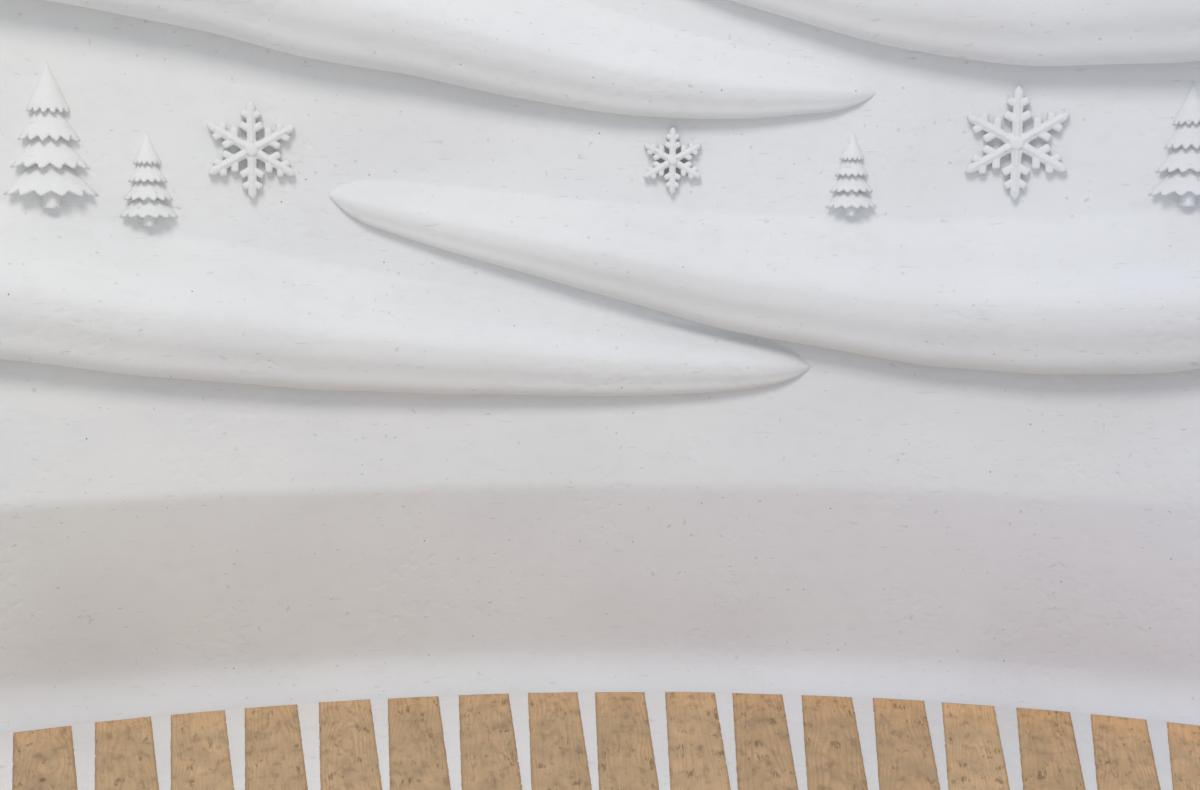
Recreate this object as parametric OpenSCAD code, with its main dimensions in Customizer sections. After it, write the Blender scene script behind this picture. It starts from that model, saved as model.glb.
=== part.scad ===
// Igloo wall bay: a curved length of the snow wall of a round igloo room, with its carved relief,
// its foot band, and the strip of snow floor whose boards lie bedded along the wall.
// Millimetres. +Z is up, +Y goes into the wall, +X is to the right for someone in the room.
// The origin is the centre of the footprint, on the ground.

/* [Room] */
// Radius of the inner wall face above the foot band
room_r = 4250; // [3800:10:4800]
// Angle round the room that one segment of wall takes up
segment_angle = 10.8; // [9.6:0.1:12]
// Number of segments side by side
segments = 5; // [3:1:6]

/* [Wall] */
// Height of the wall above the floor
wall_h = 2600; // [2400:10:2900]
// Height at which the wall starts to lean in as a dome
spring_h = 1100; // [900:10:1300]
// Thickness at the ground
base_thick = 850; // [700:10:1000]
// Thickness at the top
top_thick = 520; // [400:10:650]
// How far the outer face bulges out of its straight batter
outer_bulge = 90; // [0:5:150]

/* [Foot band] */
// Height of the lip under which the wall falls back, above the floor
lip_h = 600; // [450:10:700]
// How far the wall has fallen back where it meets the cove
band_recess = 50; // [20:5:80]
// Height over which the lip is rounded off
lip_round = 60; // [30:5:100]
// Radius of the cove between the band and the floor
cove_r = 100; // [60:5:140]

/* [Floor] */
// Thickness of the snow floor
floor_t = 120; // [90:5:200]
// Depth of the floor strip in front of the cove
floor_depth = 1000; // [900:10:1200]

/* [Boards] */
// Length of a board
board_len = 850; // [700:10:880]
// Width of a board
board_w = 145; // [120:1:150]
// Thickness of a board
board_t = 22; // [18:1:32]
// How far a board stands proud of the snow
board_proud = 2; // [0:0.5:6]
// Least gap between the narrow ends of two boards
board_gap = 10; // [6:1:40]
// How far a board may lie out of line, to either side and lengthways
board_stray = 3; // [0:0.5:3]
// Play round a board in its bed
bed_play = 0.5; // [0.3:0.1:2]

/* [Relief] */
// Bare height between the lip and the lowest snowdrift
plain_h = 250; // [150:10:300]
// Bare height between the relief and the top of the wall
crown_h = 100; // [60:10:200]
// Height of a snowdrift's long soft side, above its crest
drift_up = 250; // [150:5:280]
// Height of a snowdrift's steep side, under its crest
drift_down = 190; // [120:5:210]
// How far the crest of a snowdrift stands out of the wall
drift_d = 170; // [80:5:220]
// Height of the tallest carved fir
fir_h = 370; // [250:5:400]
// Thickness of the carved firs
fir_d = 60; // [30:5:90]
// Snow left between the foot of a fir and the snowdrift under it
fir_clear = 5; // [2:1:30]
// Width of the widest carved snow crystal
crystal_w = 300; // [200:5:320]
// Thickness of the carved snow crystals
crystal_d = 40; // [20:5:60]
// Clearance between a piece and the wall that carries it
seat = 0.3; // [0.1:0.1:0.6]

/* [Hidden] */
$fn = 256;
half_angle = segments * segment_angle / 2;
face_r = room_r + band_recess;
toe_r = face_r - cove_r;
lean_angle = asin((wall_h - spring_h) / room_r);
wall_arc = spring_h + room_r * lean_angle * PI / 180;
spring_z = floor_t + spring_h;
top_z = floor_t + wall_h;
base_out_r = room_r + base_thick;
top_in_r = room_r * cos(lean_angle);
top_out_r = top_in_r + top_thick;
floor_in_r = toe_r - floor_depth;

// The boards' far corners stop just short of the cove, and their narrow ends set how many fit
board_out_r = sqrt(pow(toe_r - seat, 2) - pow(board_w / 2 + board_stray, 2)) - board_stray;
board_in_r = board_out_r - board_len;
boards_per_segment = floor(board_in_r * segment_angle * PI / 180 / (board_w + board_gap));
board_pitch = segment_angle / boards_per_segment;
boards = segments * boards_per_segment;
stray_turn = 137;

// How much the foot band falls back for its height
band_slope = band_recess / (lip_h - cove_r);

// The footprint runs from the floor's inner corners to the middle of the wall's outer face
axis_y = -(base_out_r + floor_in_r * cos(half_angle)) / 2;

// The relief lies between these heights along the face
relief_low = lip_h + plain_h;
relief_h = wall_arc - crown_h - relief_low;

// The crest line of each snowdrift, as [place across the bay from -1 to 1, share of the relief's
// height, share of the full size of a snowdrift]. Each drift runs to one end of the bay and ends in
// a round tail towards the middle
DRIFTS = [
    [[-1, 0.21, 0.95], [-0.7, 0.15, 0.92], [-0.35, 0.095, 0.75], [0, 0.062, 0.5], [0.16, 0.057, 0.3],
        [0.22, 0.056, 0.08]],
    [[-0.46, 0.34, 0.08], [-0.4, 0.322, 0.3], [-0.15, 0.26, 0.55], [0.15, 0.195, 0.8], [0.5, 0.16, 0.98],
        [0.8, 0.185, 1], [1, 0.24, 0.98]],
    [[-1, 0.765, 1.05], [-0.7, 0.72, 1.05], [-0.35, 0.625, 0.85], [0, 0.535, 0.58], [0.23, 0.51, 0.3],
        [0.3, 0.507, 0.08]],
    [[-0.2, 0.815, 0.08], [-0.13, 0.79, 0.3], [0.1, 0.72, 0.58], [0.4, 0.655, 0.85], [0.7, 0.66, 1.05],
        [1, 0.735, 1.05]]
];
drift_rings = 48;
up_steps = 5;
down_steps = 5;
back_steps = 4;
up_power = 0.8;
down_power = 2.2;

// Each fir: place across the bay, the snowdrift it stands on, share of the tallest fir
FIRS = [
    [-0.815, 0, 1],
    [-0.695, 0, 0.66],
    [0.27, 1, 0.62],
    [0.71, 1, 0.86],
    [0.81, 1, 0.6],
    [0.84, 3, 0.7]
];

// The tiers of boughs of a fir, as shares of its height
fir_tiers = 4;
trunk_half = 0.055;
trunk_top = 0.12;
tier_step = 0.19;
tier_h = 0.17;
lowest_reach = 0.3;
reach_step = 0.053;
bough_droop = 0.025;

// Each crystal: place across the bay, share of the relief's height, share of the widest crystal
CRYSTALS = [
    [-0.56, 0.41, 0.86],
    [0.02, 0.4, 0.6],
    [0.49, 0.425, 1],
    [-0.45, 0.91, 0.86],
    [0.52, 0.92, 0.8]
];

// Half an arm of a crystal from its root to its tip, as [share of the width, angle off the arm]
HALF_ARM = [[0.085, 30], [0.125, 15.8], [0.193, 10.2], [0.265, 26.2], [0.297, 17.9], [0.252, 7.8],
    [0.327, 5.6], [0.374, 14.6], [0.409, 9.9], [0.383, 4.8], [0.461, 3.5]];

snow = [0.88, 0.89, 0.90];
carved_snow = [0.94, 0.94, 0.95];
floor_snow = [0.84, 0.84, 0.83];
pine = [0.72, 0.61, 0.46];

function mix(a, b, t) = a + (b - a) * t;

// How far the wall has leaned in at a height along its face
function lean(h) = max(h - spring_h, 0) / room_r * 180 / PI;

// A point of the wall: angle round the room, height along the face, distance in front of it
function wall_point(angle, h, d) =
    let (r = (room_r - d) * cos(lean(h)))
    let (z = floor_t + min(h, spring_h) + (room_r - d) * sin(lean(h)))
    [r * sin(angle), axis_y + r * cos(angle), z];

// The dome's section from its spring up to a share of its lean, as [radius, height]
function dome_arc(radius, share) =
    [for (t = [0:0.0625:share]) [radius * cos(t * lean_angle), spring_z + radius * sin(t * lean_angle)]];

// Section of the wall as [radius, height]: cove, band, lip, upright face, dome, top, outer face
function wall_section() = concat(
    [[toe_r, 0]],
    [for (a = [-90:15:0]) [toe_r + cove_r * cos(a), floor_t + cove_r * (1 + sin(a))]],
    [for (t = [0:0.25:1]) [room_r + band_slope * lip_round / 2 * pow(1 - t, 2),
        floor_t + lip_h + lip_round * (t - 0.5)]],
    dome_arc(room_r, 1),
    [for (t = [0:0.125:1]) [mix(top_out_r, base_out_r, t) + outer_bulge * 4 * t * (1 - t),
        top_z * (1 - t)]]
);

// Slope of a drawn line at one of its points, from the points on either side
function slope(line, i, axis) =
    let (a = line[max(i - 1, 0)], b = line[min(i + 1, len(line) - 1)])
    (b[axis] - a[axis]) / (b[0] - a[0]);

// Smooth curve through the points of a line, at a place
function along(line, place, axis) =
    let (i = max([for (j = [0:len(line) - 2]) if (line[j][0] <= place + 0.000001) j]))
    let (gap = line[i + 1][0] - line[i][0], t = (place - line[i][0]) / gap)
    (2 * t * t * t - 3 * t * t + 1) * line[i][axis]
        + (t * t * t - 2 * t * t + t) * gap * slope(line, i, axis)
        + (3 * t * t - 2 * t * t * t) * line[i + 1][axis]
        + (t * t * t - t * t) * gap * slope(line, i + 1, axis);

function crest_h(k, place) = relief_low + relief_h * along(DRIFTS[k], place, 1);
function drift_size(k, place) = along(DRIFTS[k], place, 2);

// Section of a snowdrift: a long soft upper side and a full, steep lower side, closed along the wall
function drift_ring(k, place) =
    let (h = crest_h(k, place), size = drift_size(k, place), angle = place * half_angle)
    concat(
        [for (j = [0:up_steps])
            let (t = 1 - j / up_steps)
            wall_point(angle, h + t * size * drift_up,
                seat + size * drift_d * pow((1 + cos(180 * t)) / 2, up_power))],
        [for (j = [1:down_steps - 1])
            let (t = sin(90 * j / (down_steps - 1)))
            wall_point(angle, h - t * size * drift_down,
                seat + size * drift_d * sqrt(1 - pow(t, down_power)))],
        [for (j = [1:back_steps - 1])
            wall_point(angle, h + size * mix(-drift_down, drift_up, j / back_steps), seat)]
    );

// Outline of a fir's right side, of unit height: a short trunk, then tiers of drooping boughs
function fir_side() = concat(
    [[trunk_half, 0], [trunk_half, trunk_top]],
    [for (t = [0:fir_tiers - 1])
        let (foot = trunk_top + tier_step * t, reach = lowest_reach - reach_step * t)
        each [[reach * 0.35, foot + bough_droop], [reach, foot], [reach * 0.42, foot + tier_h]]],
    [[0, 1]]
);

function mirrored(points) = [for (i = [len(points) - 2:-1:0]) [-points[i][0], points[i][1]]];

// One whole arm of a crystal of unit width, turned to its place
function crystal_arm(turn) = concat(
    [for (p = HALF_ARM) p[0] * [cos(turn - p[1]), sin(turn - p[1])]],
    [0.5 * [cos(turn), sin(turn)]],
    [for (i = [len(HALF_ARM) - 1:-1:1]) let (p = HALF_ARM[i]) p[0] * [cos(turn + p[1]), sin(turn + p[1])]]
);

// Sweeps a section of [radius, height] round the room's axis, from one angle to another
module round_the_room(from_angle, to_angle) {
    translate([0, axis_y, 0])
        rotate([0, 0, 90 - to_angle])
            rotate_extrude(angle = to_angle - from_angle)
                children();
}

module wall_segment(i) {
    start = -half_angle + (i - 1) * segment_angle;
    color(snow)
        round_the_room(start, start + segment_angle)
            polygon(wall_section());
}

// Puts its children at the narrow end of a board's bed, with their Y towards the wall
module at_board(i) {
    stray = board_stray * sin(i * stray_turn);
    translate([0, axis_y, 0])
        rotate([0, 0, half_angle - (i - 0.5) * board_pitch])
            translate([stray - board_w / 2, board_in_r + stray, floor_t + board_proud - board_t])
                children();
}

module floor_board(i) {
    color(pine)
        at_board(i)
            cube([board_w, board_len, board_t]);
}

module board_bed(i) {
    at_board(i)
        translate([-bed_play, -bed_play, 0])
            cube([board_w + 2 * bed_play, board_len + cove_r, board_t + floor_t]);
}

module floor_segment(i) {
    start = -half_angle + (i - 1) * segment_angle;
    color(floor_snow)
        difference() {
            round_the_room(start, start + segment_angle)
                translate([floor_in_r, 0])
                    square([floor_depth - seat, floor_t]);
            for (k = [1:boards_per_segment])
                board_bed((i - 1) * boards_per_segment + k);
        }
}

// Triangles that close a snowdrift's section, in a fan from each point of its back
function cap_fans(n) =
    let (front = up_steps + down_steps - 1, fan = front / (back_steps - 1))
    concat(
        [for (j = [0:front - 1]) [n - 1 - floor(j / fan), j + 1, j]],
        [for (j = [fan:fan:front - 1]) [j, n - j / fan, n - 1 - j / fan]]
    );

module snowdrift(k) {
    n = up_steps + down_steps + back_steps - 1;
    start = DRIFTS[k][0][0];
    end = DRIFTS[k][len(DRIFTS[k]) - 1][0];
    points = [for (i = [0:drift_rings]) each drift_ring(k, mix(start, end, i / drift_rings))];
    last = drift_rings * n;
    sides = [for (i = [0:drift_rings - 1], j = [0:n - 1])
        let (a = i * n + j, b = i * n + (j + 1) % n)
        each [[a, b, b + n], [a, b + n, a + n]]];
    start_cap = cap_fans(n);
    end_cap = [for (t = start_cap) [last + t[0], last + t[2], last + t[1]]];
    color(carved_snow)
        polyhedron(points, concat(sides, start_cap, end_cap), convexity = 6);
}

// The wall's mass behind the relief, grown by the seat's clearance
module behind_relief(place, reach) {
    angle = reach / room_r * 180 / PI;
    air = concat([[0, -1], [room_r - seat, -1]], dome_arc(room_r - seat, 1.25), [[0, 2 * top_z]]);
    round_the_room(place * half_angle - angle, place * half_angle + angle)
        difference() {
            translate([top_in_r / 2, 0])
                square([room_r, top_z]);
            polygon(air);
        }
}

// Lays a flat outline on the wall at a place and a height, its back cut to the wall's curve
module on_wall(place, h, size, depth) {
    sink = size * size / room_r / 8;
    difference() {
        translate(wall_point(place * half_angle, h, 0))
            rotate([0, 0, -place * half_angle])
                rotate([90 + lean(h), 0, 0])
                    translate([0, 0, -sink])
                        linear_extrude(height = depth + sink)
                            children();
        behind_relief(place, size);
    }
}

module carved_fir(i) {
    fir = FIRS[i];
    h = fir[2] * fir_h;
    foot = crest_h(fir[1], fir[0]) + drift_size(fir[1], fir[0]) * drift_up + fir_clear;
    color(carved_snow)
        on_wall(fir[0], foot + h / 2, h, fir_d)
            translate([0, -h / 2])
                scale(h)
                    polygon(concat(fir_side(), mirrored(fir_side())));
}

module snow_crystal(i) {
    crystal = CRYSTALS[i];
    width = crystal[2] * crystal_w;
    color(carved_snow)
        on_wall(crystal[0], relief_low + relief_h * crystal[1], width, crystal_d)
            scale(width)
                polygon([for (turn = [30:60:330]) each crystal_arm(turn)]);
}

for (i = [1:segments])
    wall_segment(i);
for (i = [1:segments])
    floor_segment(i);
for (i = [1:boards])
    floor_board(i);
for (i = [1:len(DRIFTS)])
    snowdrift(i - 1);
for (i = [1:len(FIRS)])
    carved_fir(i - 1);
for (i = [1:len(CRYSTALS)])
    snow_crystal(i - 1);
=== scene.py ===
"""Igloo wall bay: the looks of its snow wall, its carving, its snow floor and the bedded boards.

Lengths are metres in the frame of the solids: +Z is up, +Y goes into the wall, +X is to the right
for someone in the room, and the origin is on the ground under the middle of the bay.
"""

import logging
import math
from collections.abc import Iterable
from dataclasses import dataclass
from enum import Enum, IntEnum
from functools import partial

import bmesh
import bpy
from bmesh.types import BMEdge, BMesh, BMVert
from bpy.types import Material, Node, NodeSocket, NodeTree, Object
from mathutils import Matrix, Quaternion, Vector, noise


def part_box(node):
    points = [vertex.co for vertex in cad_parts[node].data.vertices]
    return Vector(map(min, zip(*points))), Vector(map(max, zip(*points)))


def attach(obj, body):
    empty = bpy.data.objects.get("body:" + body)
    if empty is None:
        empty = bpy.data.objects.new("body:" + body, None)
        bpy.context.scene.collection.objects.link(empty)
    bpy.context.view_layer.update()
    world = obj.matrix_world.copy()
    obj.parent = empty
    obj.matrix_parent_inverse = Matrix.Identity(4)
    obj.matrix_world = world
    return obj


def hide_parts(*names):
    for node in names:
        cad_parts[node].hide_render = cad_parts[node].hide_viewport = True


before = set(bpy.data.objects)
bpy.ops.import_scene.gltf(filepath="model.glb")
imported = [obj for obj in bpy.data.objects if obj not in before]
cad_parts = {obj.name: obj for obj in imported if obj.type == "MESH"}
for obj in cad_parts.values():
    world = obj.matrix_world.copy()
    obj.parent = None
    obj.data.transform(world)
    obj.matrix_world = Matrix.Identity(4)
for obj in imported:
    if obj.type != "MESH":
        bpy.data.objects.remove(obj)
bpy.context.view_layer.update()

log = logging.getLogger("igloo_wall_bay")

BODY = "root"
MM = 0.001
SEGMENTS = 5
BOARDS = 20

Triple = tuple[float, float, float]
# Where a value starts and ends, and what it starts and ends as once it is mapped
Span = tuple[float, float, float, float]


class Slot(Enum):
    """The record's material slots."""

    WALL = "wall_snow"
    CARVED = "carved_snow"
    FLOOR = "floor_snow"
    BOARDS = "boards"


def mix(a: float, b: float, share: float) -> float:
    """Returns the value a share of the way from a to b."""
    return a + (b - a) * share


def ease(value: float, low: float, high: float) -> float:
    """Returns a smooth step from 0 at low to 1 at high."""
    t = min(max((value - low) / (high - low), 0.0), 1.0)
    return t * t * (3 - 2 * t)


@dataclass(frozen=True)
class Ripple:
    """Smooth noise, the same on every run: its waves per metre each way, its size and its seed.

    Pieces with a number get waves of their own, and apart is how far they differ from one to the next.
    """

    grid: tuple[float, float]
    size: float = 1.0
    seed: float = 0.0
    apart: float = 1.0

    def at(self, x: float, y: float, number: float = 0.0) -> float:
        """Works out the noise at a place.

        Args:
            x: The place in metres, one way.
            y: The place in metres, the other way.
            number: The piece's number.

        Returns:
            The noise, about minus its size to its size.
        """
        across, along = self.grid
        return self.size * noise.noise(Vector((x * across, y * along, self.seed + self.apart * number)))


@dataclass(frozen=True)
class Room:
    """The round room: where its axis stands, and how its wall rises and leans in as a dome.

    The heights of its floor and its wall's top above the ground are measured on the CAD nodes.
    """

    floor_top: float
    top: float
    radius: float = 4.25
    half_angle: float = math.radians(27)
    spring: float = 1.1
    base_out: float = 5.1
    floor_in: float = 3.2
    toe: float = 4.2
    cove: float = 0.1
    lip: float = 0.6
    broad_swell: Ripple = Ripple((1.2, 2.1), 4.5 * MM, 3.1)
    small_swell: Ripple = Ripple((3.8, 6.6), 1.3 * MM, 7.7)

    @classmethod
    def measured(cls) -> "Room":
        """Returns the room with the heights of the CAD nodes."""
        return cls(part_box("floor_segment_1")[1].z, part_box("wall_segment_1")[1].z)

    @property
    def axis_y(self) -> float:
        """Where the room's axis stands along Y."""
        return -(self.base_out + self.floor_in * math.cos(self.half_angle)) / 2

    @property
    def face_length(self) -> float:
        """Length of the wall's face from the floor to its top, measured along the face."""
        rise = self.top - self.floor_top - self.spring
        return self.spring + self.radius * math.asin(rise / self.radius)

    def lean(self, height: float) -> float:
        """Returns the angle that the face has leaned in at a height along it."""
        return max(height - self.spring, 0.0) / self.radius

    def polar(self, angle: float, radius: float, z: float) -> Vector:
        """Returns a point from its angle round the room, its distance from the axis and its height."""
        return Vector((radius * math.sin(angle), self.axis_y + radius * math.cos(angle), z))

    def angle_of(self, point: Vector) -> float:
        """Returns a point's angle round the room, 0 straight ahead and positive to the right."""
        return math.atan2(point.x, point.y - self.axis_y)

    def radius_of(self, point: Vector) -> float:
        """Returns a point's distance from the room's axis."""
        return math.hypot(point.x, point.y - self.axis_y)

    def swell(self, angle: float, height: float) -> float:
        """Works out how uneven the hand-smoothed face is.

        Args:
            angle: Angle round the room.
            height: Height along the face, above the floor.

        Returns:
            How far the face stands proud of the true curve.
        """
        along = angle * self.radius
        return self.broad_swell.at(along, height) + self.small_swell.at(along, height)

    def point(self, angle: float, height: float, proud: float) -> Vector:
        """Finds a point by the true curve of the wall's face.

        Args:
            angle: Angle round the room.
            height: Height along the face, above the floor.
            proud: Distance in front of the face.

        Returns:
            The point.
        """
        lean = self.lean(height)
        reach = self.radius - proud
        z = self.floor_top + min(height, self.spring) + reach * math.sin(lean)
        return self.polar(angle, reach * math.cos(lean), z)

    def on_face(self, angle: float, height: float, proud: float) -> Vector:
        """Returns the point at a distance in front of the face as it was smoothed by hand."""
        return self.point(angle, height, proud + self.swell(angle, height))


def linear(hex_colour: str) -> tuple[float, float, float, float]:
    """Returns an sRGB hex colour such as "E6E7E9" as linear red, green, blue and an alpha of 1."""
    channels = [int(hex_colour[i : i + 2], 16) / 255 for i in (0, 2, 4)]
    return (*[c / 12.92 if c <= 0.04045 else ((c + 0.055) / 1.055) ** 2.4 for c in channels], 1.0)


def add_node(tree: NodeTree, kind: str, links: dict | tuple = (), **settings: object) -> Node:
    """Adds a node with its settings and links.

    Inputs 0 to 4 of a MapRange are its value, the span that it comes from and the span that it goes to.
    Inputs 0, 6 and 7 of a Mix are the share of its second colour, its first colour and its second.

    Args:
        tree: The node tree.
        kind: Blender's name of the node's type, after its "ShaderNode".
        links: What goes into its inputs, in their order or by their names or numbers: a constant, a hex
            colour, a socket, or a node, whose first output in use is linked.
        **settings: Properties of the node.

    Returns:
        The new node.
    """
    made = tree.nodes.new(f"ShaderNode{kind}")
    for name, value in settings.items():
        setattr(made, name, value)
    for key, value in links.items() if isinstance(links, dict) else enumerate(links):
        if isinstance(value, Node):
            value = next(socket for socket in value.outputs if socket.enabled)
        if isinstance(value, NodeSocket):
            tree.links.new(value, made.inputs[key])
        else:
            made.inputs[key].default_value = linear(value) if isinstance(value, str) else value
    return made


def begin_material(name: str) -> tuple[Material, NodeTree]:
    """Begins a material.

    Args:
        name: The material's name.

    Returns:
        The material and its node tree, with no node in it.
    """
    material = bpy.data.materials.new(name)
    material.use_nodes = True
    material.node_tree.nodes.clear()
    return material, material.node_tree


@dataclass(frozen=True)
class Pattern:
    """A smooth random pattern. Where it has a level, only the soft marks that rise past it are left.

    Its grid is features per metre along each axis, and its detail is rounds of finer features in them.
    """

    grid: Triple
    detail: float = 1.0
    level: float | None = None
    ramp: float = 0.13

    def lay(self, tree: NodeTree, place: NodeSocket) -> Node:
        """Lays the pattern over a surface.

        Args:
            tree: The material's node tree.
            place: Socket of the place in metres.

        Returns:
            The node that gives the pattern or its marks, 0 to 1.
        """
        stretched = add_node(tree, "Mapping", {"Vector": place, "Scale": Vector(self.grid)})
        smooth = add_node(tree, "TexNoise", {"Vector": stretched, "Scale": 1.0, "Detail": self.detail})
        if self.level is None:
            return smooth
        peaks = (smooth, self.level, self.level + self.ramp)
        return add_node(tree, "MapRange", peaks, interpolation_type="SMOOTHSTEP")


class Coat(Enum):
    """How a coat of colour lies on the colour under it."""

    COVER = "MIX"
    TINT = "MULTIPLY"


@dataclass(frozen=True)
class FootShadeAndDirt:
    """A faint warm darkening of the wall under its lip, fainter in the cove: partly dirt and wear, partly
    painted shade of the foot band and painted warm light bounced off the boards.
    """

    left: str
    right: str
    lip: float
    floor: float
    soft: float = 25 * MM
    waver: float = 12 * MM
    # swept: height above the floor over which the darkening fades to its faintest share
    swept: float = 0.15
    faintest: float = 0.4

    def lay(self, tree: NodeTree, up: NodeSocket, across: Node, clouds: Node) -> tuple[Node, Node]:
        """Lays the tint.

        Args:
            tree: The material's node tree.
            up: Socket of the height above the ground.
            across: Node of the share of the way from the bay's left to its right.
            clouds: Node of the pattern by which the tint's upper edge wavers.

        Returns:
            The nodes of the tint's share, 0 to 1, and of its colour.
        """
        add = partial(add_node, tree)
        edge = add("Math", (clouds, self.waver, up), operation="MULTIPLY_ADD")
        under = (edge, self.lip - self.soft, self.lip + self.soft, 1.0, 0.0)
        low = add("MapRange", under, interpolation_type="SMOOTHSTEP")
        swept = add("MapRange", (up, self.floor, self.floor + self.swept, self.faintest, 1.0))
        share = add("Math", (low, swept), operation="MULTIPLY")
        return share, add("Mix", {0: across, 6: self.left, 7: self.right}, data_type="RGBA")


@dataclass(frozen=True)
class SnowFinish:
    """Machine-made snow, blown and packed hard, as one kind of tool or traffic leaves it.

    Such snow is a white mass of fine ice grains. The eye gets a matt white that is never quite even:
    broad greyer clouds and a fine mottle, long level strokes of the float, shallow dents and small pits,
    and a few specks of dirt. Where its left and right colours differ, it is painted warmer at the bay's
    left and cooler at its right: painted light, warm light on one side and cool on the other. Its pits
    and nicks are darkened with painted shade.
    """

    name: str
    # A warmer left and a cooler right, spread over reach either side of the middle, are painted light
    left: str = "EAEAE7"
    right: str = "E6E8EB"
    cloud: str = "DDDDDE"
    damp: str = "C6C4C3"
    shadow: str = "A5A2A0"
    dirt: str = "857A70"
    reach: float = 1.6
    shadow_share: float = 0.2
    stroke_mm: float = 0.16
    grain_mm: float = 0.16
    dent_mm: float = 0.9
    pit_mm: float = 1.3
    strata_mm: float = 0.0
    ior: float = 1.31
    foot: FootShadeAndDirt | None = None
    # Clouds of half a metre, and wetter and drier patches of 20 to 60 mm
    clouds: Pattern = Pattern((1.7, 1.7, 2.6))
    clouded: Span = (0.42, 0.72, 0.0, 0.5)
    patches: Pattern = Pattern((16.0, 16.0, 26.0), 3.0)
    damped: Span = (0.5, 0.8, 0.0, 0.12)
    gloss: Pattern = Pattern((5.0, 5.0, 9.0))
    roughness: Span = (0.3, 0.7, 0.64, 0.8)
    # Pits of 4 to 8 mm, and the short level nicks that a float leaves, up to 20 mm long and 3 mm high
    pits: Pattern = Pattern((75.0, 75.0, 75.0), 0.0, 0.77)
    nicks: Pattern = Pattern((22.0, 22.0, 130.0), 0.0, 0.75)
    # Shallow dents of 8 to 15 mm, in clusters a third of a metre apart
    dents: Pattern = Pattern((36.0, 36.0, 44.0), 0.0, 0.52, 0.28)
    clusters: Pattern = Pattern((3.1, 3.1, 3.1), 0.0, 0.5)
    # Strokes of the float of about 400 mm by 30 mm, with finer ones of 120 mm by 8 mm on them
    strokes: Pattern = Pattern((2.5, 2.5, 32.0))
    fine_strokes: Pattern = Pattern((8.0, 8.0, 120.0))
    stroke_gain: float = 2.0
    fine_gain: float = 0.5
    # Real grains are 1 mm; they are drawn 5 mm apart, as coarse as they need to be to show
    grains: Pattern = Pattern((200.0, 200.0, 200.0), 2.0)
    # Level layers about 20 mm apart
    strata: Pattern = Pattern((0.8, 0.8, 55.0), 4.0)
    # Specks of 2 to 5 mm in some of the cells of a 33 mm grid
    speck_grid: float = 30.0
    speck_share: float = 0.08
    speck_rim: Span = (0.03, 0.09, 1.0, 0.0)

    def colour(self, tree: NodeTree, place: NodeSocket) -> Node:
        """Works out the snow's colour.

        Args:
            tree: The material's node tree.
            place: Socket of the place in metres.

        Returns:
            The node that gives the colour.
        """
        add = partial(add_node, tree)
        laid = (pattern.lay(tree, place) for pattern in (self.clouds, self.patches, self.pits, self.nicks))
        clouds, patches, pits, nicks = laid
        x, _, up = add("SeparateXYZ", (place,)).outputs
        across = add("MapRange", (x, -self.reach, self.reach))
        cloudy = add("MapRange", (clouds, *self.clouded))
        damp = add("MapRange", (patches, *self.damped))
        hollow = add("Math", (pits, nicks))
        shaded = add("Math", (hollow, self.shadow_share), operation="MULTIPLY", use_clamp=True)
        # Warm at the left and cool at the right: painted light
        snow = [(across, self.right), (cloudy, self.cloud), (damp, self.damp)]
        # Under its lip the wall is darkened and warmed: partly dirt and wear, partly painted shade and warm
        # bounce light
        foot = [self.foot.lay(tree, up, across, clouds)] if self.foot else []
        marks = [(shaded, self.shadow), (self.specks(tree, place), self.dirt)]
        seen = self.left
        for way, coats in ((Coat.COVER, snow), (Coat.TINT, foot), (Coat.COVER, marks)):
            for share, coat in coats:
                seen = add("Mix", {0: share, 6: seen, 7: coat}, data_type="RGBA", blend_type=way.value)
        return seen

    def specks(self, tree: NodeTree, place: NodeSocket) -> Node:
        """Scatters specks of dirt.

        Args:
            tree: The material's node tree.
            place: Socket of the place in metres.

        Returns:
            The node that gives their mask.
        """
        add = partial(add_node, tree)
        away, cell = add("TexVoronoi", {"Vector": place, "Scale": self.speck_grid}).outputs[:2]
        speck = add("MapRange", (away, *self.speck_rim), interpolation_type="SMOOTHSTEP")
        pick = add("SeparateColor", (cell,))
        few = add("Math", (pick, self.speck_share), operation="LESS_THAN")
        return add("Math", (speck, few), operation="MULTIPLY")

    def relief(self, tree: NodeTree, place: NodeSocket) -> Node:
        """Adds up the surface's fine relief.

        Args:
            tree: The material's node tree.
            place: Socket of the place in metres.

        Returns:
            The node that gives the relief, in metres.
        """
        add = partial(add_node, tree)
        marks = (self.dents.lay(tree, place), self.clusters.lay(tree, place))
        dents = add("Math", marks, operation="MULTIPLY")
        layers = [(self.grains.lay(tree, place), self.grain_mm), (dents, -self.dent_mm)]
        layers.append((self.pits.lay(tree, place), -self.pit_mm))
        if self.stroke_mm:
            layers.append((self.strokes.lay(tree, place), self.stroke_mm * self.stroke_gain))
            layers.append((self.fine_strokes.lay(tree, place), self.stroke_mm * self.fine_gain))
        if self.strata_mm:
            layers.append((self.strata.lay(tree, place), self.strata_mm))
        height = 0.0
        for layer, depth_mm in layers:
            height = add("Math", (layer, depth_mm * MM, height), operation="MULTIPLY_ADD")
        return height

    def make(self) -> Material:
        """Makes the finish.

        Returns:
            The material.
        """
        material, tree = begin_material(self.name)
        add = partial(add_node, tree)
        place = add("TexCoord").outputs["Object"]
        wet = add("MapRange", (self.gloss.lay(tree, place), *self.roughness))
        bump = add("Bump", {"Strength": 1.0, "Distance": 1.0, "Height": self.relief(tree, place)})
        surface = {"Base Color": self.colour(tree, place), "Roughness": wet, "IOR": self.ior, "Normal": bump}
        add("OutputMaterial", (add("BsdfPrincipled", surface),))
        return material


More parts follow.
